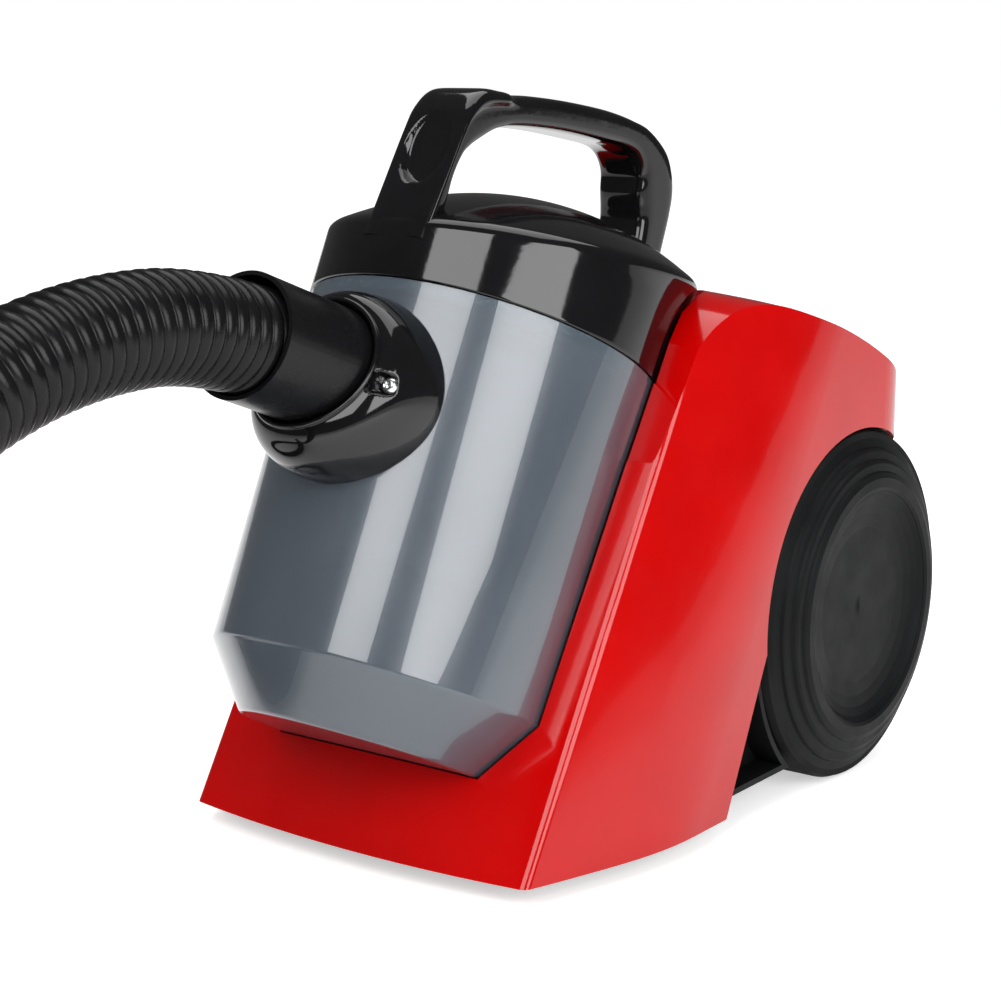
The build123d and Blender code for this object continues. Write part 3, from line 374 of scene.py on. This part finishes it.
rows_per_run = 15
outer_line, inner_line = flowing(handle_outer, rows_per_run), flowing(handle_inner, rows_per_run)
handle_rows, handle_sides = len(outer_line), 144
place = np.linspace(0, len(handle_outer) - 1, handle_rows)[:, None]
round_square = np.linspace(0, 8, handle_sides, endpoint=False)[None, :]
square_x, square_y = (np.clip(np.abs((round_square - turn) % 8 - 4) - 2, -1, 1) for turn in (0, 2))
blade_share = 1 / (1 + np.exp((place - 6.6) / 0.12))
power = 5.0 + 1.6 * blade_share
pull_in = (np.abs(square_x) ** power + np.abs(square_y) ** power) ** (-1 / power)
across, depth = square_x * pull_in, 0.5 - 0.5 * square_y * pull_in
plate = blade_share / (1 + np.exp((depth - 0.34) / 0.02))
half_width = 12.6 + 2.4 * plate
handle_x = across * half_width
handle_yz = outer_line[:, None] + depth[..., None] * (inner_line - outer_line)[:, None]
scoop_half_width, scoop_middle_s, scoop_half_height, scoop_depth = 10.8, 268.5, 16.0, 4.2
scoop = (handle_x / scoop_half_width) ** 2 + ((handle_yz[..., 1] - scoop_middle_s) / scoop_half_height) ** 2
front_side = np.clip(1 - depth / 0.3, 0, 1)
steep = np.clip((1 - scoop) / 0.3, 0, 1)
hollow = scoop_depth * steep * (2 - steep) * np.clip((291 - handle_yz[..., 1]) / 32, 0, 1) * (front_side > 0)
handle_y = handle_yz[..., 0] + hollow
handle = piece_from("carry_handle_loop", in_cup(handle_x, handle_y, handle_yz[..., 1]),
                    grid_faces(handle_rows, handle_sides), gloss_black, "lid")
merged(handle)
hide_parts("carry_handle")

# ======== inlet collar with its two screws ========
# A gloss black cone on the cup's front with a rolled lip round an oblique mouth. Two cross-head screws
# hold it, each in an open pocket beside the mouth; its spigot goes through the cup's wall.
inlet_origin = np.array([0.0, -122.25, 191.014])
inlet_axis = np.array([0.0, -0.93849, 0.3453])
inlet_up = np.array([0.0, 0.3453, 0.93849])


def in_inlet(x, y, z):
    """World place of points in the inlet's frame: x sideways, y up, z out along its axis, in mm."""
    x, y, z = np.broadcast_arrays(x, y, z)
    return (inlet_origin + x[..., None] * np.array([1.0, 0.0, 0.0]) + y[..., None] * inlet_up
            + z[..., None] * inlet_axis) / 1000.0


collar_sides = 288
psi = np.linspace(0, 2 * np.pi, collar_sides, endpoint=False)
collar_s, collar_half_width, collar_half_height, collar_sink = 168.5, 37.3, 37.0, 0.3
base_x, base_s = collar_half_width * np.cos(psi), collar_s + collar_half_height * np.sin(psi)
cup_crease_s, cup_crease_radius, cup_length, cup_widening = 70.5, 68.0, 142.9, 3.6
base_radius = cup_crease_radius + cup_widening * (base_s - cup_crease_s) / cup_length - collar_sink
base_world = in_cup(base_x, -np.sqrt(base_radius ** 2 - base_x ** 2), base_s) * 1000.0 - inlet_origin
base = np.stack([base_world[:, 0], base_world @ inlet_up, base_world @ inlet_axis], axis=-1)
mouth_low, mouth_slant = 17.0, 15.3
mouth_z = mouth_low + mouth_slant * ((1 - np.sin(psi)) / 2) ** 2
ring = np.stack([np.cos(psi), np.sin(psi)], axis=-1)
lip_radius, collar_bore, spigot_radius = 26.4, 23.9, 26.4


def ring_at(radius, z):
    """A ring of the collar at a radius and at heights along the inlet's axis."""
    return np.concatenate([ring * radius, np.broadcast_to(z, psi.shape)[:, None]], axis=1)


neck = ring_at(lip_radius, mouth_z - 2.2)
bulge = np.concatenate([base[:, :2] * 0.985, (base[:, 2] + 0.86 * (mouth_z - base[:, 2]))[:, None]], axis=1)
cone_rings = 56
collar_rows = [(1 - t) ** 2 * base + 2 * t * (1 - t) * bulge + t ** 2 * neck
               for t in np.linspace(0, 1, cone_rings)]
bead, bead_radius = 0.95, 25.8
for a in np.linspace(-1.2, 2.6, 9):
    collar_rows.append(ring_at(bead_radius + bead * math.cos(a), mouth_z - 0.9 + bead * math.sin(a)))
collar_rows += [ring_at(collar_bore, mouth_z - 2.0), ring_at(collar_bore, 4.0), ring_at(collar_bore, -19.7),
                ring_at(collar_bore + 0.3, -20.0), ring_at(spigot_radius - 0.3, -20.0),
                ring_at(spigot_radius, -19.7),
                ring_at(spigot_radius, base[:, 2].min() - 1.0)]
collar_grid = np.array(collar_rows)
sideways = np.abs(collar_grid[..., 0])
screw_x, screw_y, pocket_start_x, pocket_radius = 30.4, -3.8, 28.0, 4.1
beyond = np.hypot(np.clip(pocket_start_x - sideways, 0, None) + np.clip(sideways - screw_x, 0, None),
                  collar_grid[..., 1] - screw_y)
on_cone = (np.arange(len(collar_rows)) < cone_rings)[:, None]
in_pocket = np.clip((pocket_radius - beyond) / 0.5, 0, 1) * on_cone
pocket_floor = 12.6
sunk = np.minimum(collar_grid[..., 2], collar_grid[..., 2] * (1 - in_pocket) + pocket_floor * in_pocket)
collar_grid[..., 2] = np.where(in_pocket > 0, sunk, collar_grid[..., 2])
collar = piece_from("inlet_cone", in_inlet(collar_grid[..., 0], collar_grid[..., 1], collar_grid[..., 2]),
                    grid_faces(len(collar_rows), collar_sides, close_rows=True), gloss_black, "cup")
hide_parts("inlet_collar")

bright_zinc, tree, links, shader = new_finish("bright_zinc", (0.78, 0.79, 0.8), 0.2)
shader.inputs["Metallic"].default_value = 1.0
add_range(tree, links, add_noise(tree, links, 2500.0).outputs["Fac"], 0.12, 0.35, shader.inputs["Roughness"])


def lathe(profile, place, name, finish, body, sides=48):
    """A turned piece: (radius, height) points of a closed outline carried round an axis and placed."""
    profile = np.array(profile, float)
    angle = np.linspace(0, 2 * np.pi, sides, endpoint=False)
    points = place(profile[:, :1] * np.cos(angle), profile[:, :1] * np.sin(angle), profile[:, 1:] + 0 * angle)
    return merged(piece_from(name, points, grid_faces(len(profile), sides), finish, body))


screw_profile = [(0, 12.4), (1.5, 12.4), (3.2, 12.6), (3.2, 13.6), (2.9, 14.4), (2.2, 15.0), (1.3, 15.3),
                 (1.1, 14.6), (0, 14.4)]
screw = lathe(screw_profile, lambda x, y, z: in_inlet(x + screw_x, y + screw_y, z), "collar_screw_left",
              bright_zinc, "cup", 24)
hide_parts("collar_screws")
far_screw = lathe(screw_profile, lambda x, y, z: in_inlet(x - screw_x, y + screw_y, z), "collar_screw_right",
                  bright_zinc, "cup", 24)

# ======== see-through dust cup ========
# A smoke-tinted, slightly milky plastic moulding with a gloss skin. Under the lid its rim carries painted
# highlights: a thin band of small pale glints painted into the base colour.
smoke, tree, links, shader = new_finish("smoke_clear", (0.18, 0.22, 0.27), 0.24, 0.35, 0.9, 0.02)
shader.inputs["Transmission Weight"].default_value = 0.72
shader.inputs["IOR"].default_value = 1.5
drift = add_noise(tree, links, 11.0, 2.0)
ramp = tree.new("ShaderNodeValToRGB")
ramp.color_ramp.elements[0].color = (0.15, 0.185, 0.23, 1)
ramp.color_ramp.elements[0].position = 0.3
ramp.color_ramp.elements[1].color = (0.21, 0.25, 0.3, 1)
ramp.color_ramp.elements[1].position = 0.7
links.new(drift.outputs["Fac"], ramp.inputs["Fac"])
coords = tree.new("ShaderNodeTexCoord")
axis_frame = tree.new("ShaderNodeMapping")
axis_frame.vector_type = "TEXTURE"
axis_frame.inputs["Location"].default_value = (0.0, cup_foot_y / 1000.0, ride_height / 1000.0)
axis_frame.inputs["Rotation"].default_value = (-cup_tilt, 0.0, 0.0)
links.new(coords.outputs["Object"], axis_frame.inputs["Vector"])
split = tree.new("ShaderNodeSeparateXYZ")
links.new(axis_frame.outputs["Vector"], split.inputs["Vector"])
# painted highlight: the thin band under the lid where pale glints are painted into the cup's colour
painted_glint_band = tree.new("ShaderNodeMapRange")
painted_glint_band.inputs["From Min"].default_value = 0.2084
painted_glint_band.inputs["From Max"].default_value = 0.2094
links.new(split.outputs["Z"], painted_glint_band.inputs["Value"])
# noise that places the painted glints in that band
painted_glints = add_noise(tree, links, 900.0, 4.0, 0.7)
painted_glint_level = tree.new("ShaderNodeMapRange")
painted_glint_level.inputs["From Min"].default_value = 0.56
painted_glint_level.inputs["From Max"].default_value = 0.72
links.new(painted_glints.outputs["Fac"], painted_glint_level.inputs["Value"])
# painted highlight colours for the rim band: the cup's tint and a pale glint
rim_glint_paint = tree.new("ShaderNodeMix")
rim_glint_paint.data_type = "RGBA"
rim_glint_paint.inputs["A"].default_value = (0.16, 0.21, 0.26, 1)
rim_glint_paint.inputs["B"].default_value = (0.5, 0.58, 0.62, 1)
links.new(painted_glint_level.outputs["Result"], rim_glint_paint.inputs["Factor"])
cup_colour_with_glints = tree.new("ShaderNodeMix")
cup_colour_with_glints.data_type = "RGBA"
links.new(painted_glint_band.outputs["Result"], cup_colour_with_glints.inputs["Factor"])
links.new(ramp.outputs["Color"], cup_colour_with_glints.inputs["A"])
links.new(rim_glint_paint.outputs["Result"], cup_colour_with_glints.inputs["B"])
links.new(cup_colour_with_glints.outputs["Result"], shader.inputs["Base Color"])
add_bump(tree, links, add_noise(tree, links, 30.0, 2.0).outputs["Fac"], shader, 0.0004, 0.25)
dress(smoke, "dust_cup")

# ======== filter and the parts under the lid ========
# A pleated paper cartridge on a black frame hangs from the lid inside the cup; the lid seals on a
# rubber ring.
filter_paper, tree, links, shader = new_finish("filter_paper", (0.72, 0.72, 0.67), 0.9, 0.1)
add_shades(tree, links, add_noise(tree, links, 90.0, 4.0).outputs["Fac"], (0.58, 0.58, 0.53),
           (0.76, 0.76, 0.71), shader)
add_bump(tree, links, add_noise(tree, links, 2600.0, 3.0).outputs["Fac"], shader, 0.00015)
dress(filter_paper, "filter_pleats")
soft_rubber = moulded_plastic("soft_rubber", (0.012, 0.012, 0.012), (0.02, 0.02, 0.02), (0.6, 0.8), 1400.0,
                              0.00006, specular=0.3)
dress(soft_rubber, "lid_seal", "duct_seal", "motor_mount", "cord_gland")

# ======== red housing ========
# A thin-walled gloss red moulding, polished, with a faint ripple in its skin. It holds the cup in a
# deep recess and covers the motor.
red_gloss = moulded_plastic("red_gloss", (0.36, 0.0, 0.0), (0.4, 0.0004, 0.0004), (0.1, 0.16), 14.0,
                            0.0003, specular=0.25, coat=0.3)
dress(red_gloss, "upper_housing")
dress(gloss_black, "power_button")

# ======== wheels, castor and base ========
# Matt black mouldings with a fine spark-eroded grain: two dished wheels with hard tread rings, their
# centre discs, the base pan with its sills, the exhaust grille and the castor.
matt_black = moulded_plastic("matt_black", (0.004, 0.0045, 0.0048), (0.0065, 0.007, 0.0075), (0.42, 0.54),
                             1600.0, 0.00005, specular=0.1)
tread_black = moulded_plastic("tread_black", (0.004, 0.004, 0.004), (0.008, 0.008, 0.008), (0.55, 0.7),
                              1100.0, 0.00008, specular=0.1)
dress(matt_black, "wheel_left", "wheel_right", "hub_cap_left", "hub_cap_right", "base_pan", "exhaust_grille",
      "castor_roller", "filter_frame", "filter_cap", "motor_duct")
dress(tread_black, "tyre_left", "tyre_right")
dress(grey_satin, "castor_fork", "switch_body", "brush_holders")

# ======== motor, fan and the metal parts ========
# Inside the housing: a steel-cased motor with copper windings, an aluminium fan and cover, and plated
# axles, clips, screws and pins.


def metal(name, dark, light, roughness, scale):
    """Bare metal: shade and gloss drift with noise, with fine streaks in its surface."""
    finish, tree, links, shader = new_finish(name, light, roughness[0])
    shader.inputs["Metallic"].default_value = 1.0
    add_shades(tree, links, add_noise(tree, links, scale, 4.0).outputs["Fac"], dark, light, shader)
    add_range(tree, links, add_noise(tree, links, scale * 6, 4.0).outputs["Fac"], *roughness,
              shader.inputs["Roughness"])
    add_bump(tree, links, add_noise(tree, links, 1800.0).outputs["Fac"], shader, 0.00002)
    return finish


plated_steel = metal("plated_steel", (0.42, 0.42, 0.43), (0.58, 0.58, 0.6), (0.22, 0.38), 120.0)
cast_alloy = metal("cast_alloy", (0.5, 0.5, 0.52), (0.66, 0.66, 0.68), (0.34, 0.5), 160.0)
copper_wire = metal("copper_wire", (0.45, 0.17, 0.08), (0.62, 0.26, 0.13), (0.3, 0.45), 700.0)
core_steel = metal("core_steel", (0.12, 0.12, 0.13), (0.22, 0.22, 0.23), (0.45, 0.6), 500.0)
dress(plated_steel, "wheel_axles", "wheel_clips", "pan_screws", "motor_frame", "bearing_lower", "bearing_upper",
      "castor_pin", "motor_shaft", "button_spring")
dress(bright_zinc, "handle_screw")
dress(cast_alloy, "fan_shroud", "impeller")
dress(copper_wire, "field_windings", "commutator")
dress(core_steel, "stator_core", "armature")
carbon = moulded_plastic("carbon", (0.02, 0.02, 0.02), (0.035, 0.035, 0.035), (0.5, 0.65), 2200.0,
                         0.00004)
foam = moulded_plastic("open_foam", (0.03, 0.03, 0.033), (0.07, 0.07, 0.075), (0.85, 0.95), 700.0,
                       0.0006, specular=0.1)
dress(carbon, "carbon_brushes")
dress(foam, "exhaust_filter")

# ======== studio ========
# A white floor, a white surround and three large soft boxes: in front, at the side and above from behind.
floor_mesh = bpy.data.meshes.new("studio_floor")
reach = 9
floor_mesh.from_pydata([(-reach, -reach, 0), (reach, -reach, 0), (reach, reach, 0), (-reach, reach, 0)], [],
                       [(0, 1, 2, 3)])
floor = bpy.data.objects.new("studio_floor", floor_mesh)
bpy.context.scene.collection.objects.link(floor)
paper, tree, links, shader = new_finish("studio_paper", (0.86, 0.86, 0.86), 0.9, 0.1)
shader.inputs["Emission Color"].default_value = (1, 1, 1, 1)
seen = tree.new("ShaderNodeLightPath")
glow = tree.new("ShaderNodeMapRange")    # brighter to the lens than to the pieces' gloss
glow.inputs["To Min"].default_value = 0.1
glow.inputs["To Max"].default_value = 0.5
links.new(seen.outputs["Is Camera Ray"], glow.inputs["Value"])
links.new(glow.outputs["Result"], shader.inputs["Emission Strength"])
floor_mesh.materials.append(paper)


def soft_box(name, turn, rise, distance, width, height, power, aim=(0.0, -0.06, 0.15)):
    """An area light at an azimuth and elevation round the machine, facing it."""
    data = bpy.data.lights.new(name, "AREA")
    data.shape = "RECTANGLE"
    data.size, data.size_y = width, height
    data.energy = power
    light = bpy.data.objects.new(name, data)
    a, e = math.radians(turn), math.radians(rise)
    back = Vector((math.sin(a) * math.cos(e), -math.cos(a) * math.cos(e), math.sin(e)))
    light.location = Vector(aim) + back * distance
    light.rotation_mode = "QUATERNION"
    light.rotation_quaternion = (-back).to_track_quat("-Z", "Y")
    light.visible_camera = False
    bpy.context.scene.collection.objects.link(light)
    return light


soft_box("box_front", 10.7, 38, 1.6, 0.95, 0.8, 13)
soft_box("box_side", 69, 22, 1.6, 1.0, 0.8, 15)
soft_box("box_top", 200, 75, 1.6, 1.6, 1.2, 14)
world = bpy.data.worlds.new("studio_air")
world.use_nodes = True
bpy.context.scene.world = world
tree, links = world.node_tree.nodes, world.node_tree.links
background = tree["Background"]
ray = tree.new("ShaderNodeLightPath")
dim = tree.new("ShaderNodeMapRange")     # what gloss reflects: a dim room
dim.inputs["To Min"].default_value = 0.8
dim.inputs["To Max"].default_value = 0.08
links.new(ray.outputs["Is Glossy Ray"], dim.inputs["Value"])
level = tree.new("ShaderNodeMapRange")   # what the lens sees: plain white
level.inputs["To Max"].default_value = 1.0
links.new(dim.outputs["Result"], level.inputs["To Min"])
links.new(ray.outputs["Is Camera Ray"], level.inputs["Value"])
links.new(level.outputs["Result"], background.inputs["Strength"])
background.inputs["Color"].default_value = (1, 1, 1, 1)
bpy.context.scene.view_settings.view_transform = "Standard"
